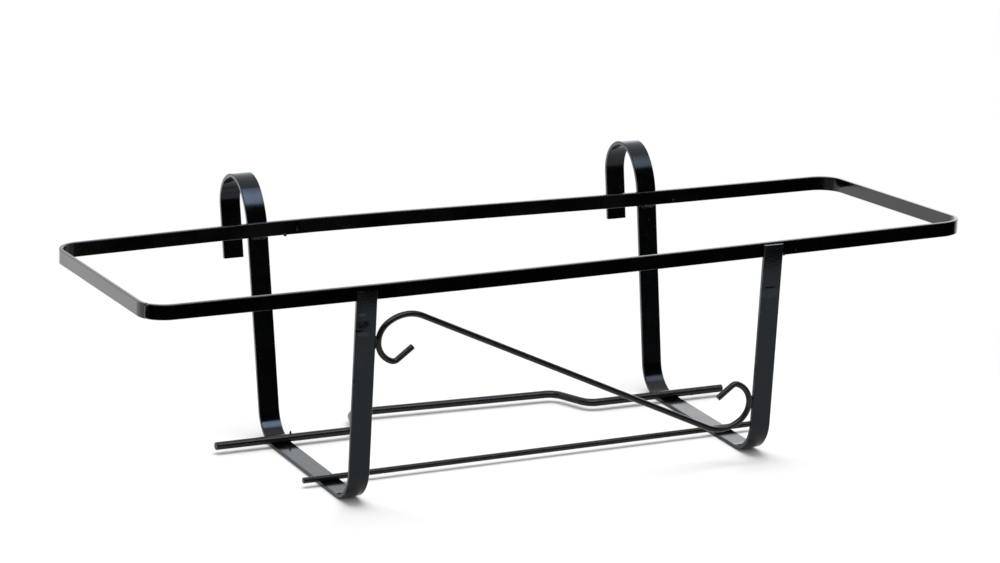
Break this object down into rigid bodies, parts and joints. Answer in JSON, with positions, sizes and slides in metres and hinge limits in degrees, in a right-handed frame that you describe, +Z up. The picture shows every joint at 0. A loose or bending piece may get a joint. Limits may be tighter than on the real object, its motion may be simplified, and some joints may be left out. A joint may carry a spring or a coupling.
{
  "type": "window box holder",
  "caption": "Welded steel holder for a flower box: flat-bar ring on hooked strap brackets, joined by floor rods and a scroll wire.",
  "frame": {"origin": "on the ground under the middle of the overall box; the ring's middle is 28 mm in front of it, because the hooks stand out behind", "axes": "+X along the ring's long side to the right seen from the front, +Y back towards the rail that the hooks go over, +Z up"},
  "size_m": [0.6675, 0.2614, 0.1903],
  "materials": {
    "ring_paint": "semi-gloss black enamel on flat bar",
    "strap_paint": "semi-gloss black enamel on bent strap",
    "wire_paint": "semi-gloss black enamel on round wire",
    "weld": "painted weld beads, uneven"
  },
  "bodies": {
    "root": {"ring_bar": "ring_paint", "ring_seam_weld": "weld", "left_bracket": "strap_paint", "right_bracket": "strap_paint", "back_rod": "wire_paint", "front_rod": "wire_paint", "scroll_wire": "wire_paint", "left_front_ring_weld": "weld", "left_back_ring_weld": "weld", "right_front_ring_weld": "weld", "right_back_ring_weld": "weld", "left_front_rod_weld": "weld", "left_back_rod_weld": "weld", "right_front_rod_weld": "weld", "right_back_rod_weld": "weld", "left_scroll_weld": "weld", "right_scroll_weld": "weld"}
  },
  "joints": []
}
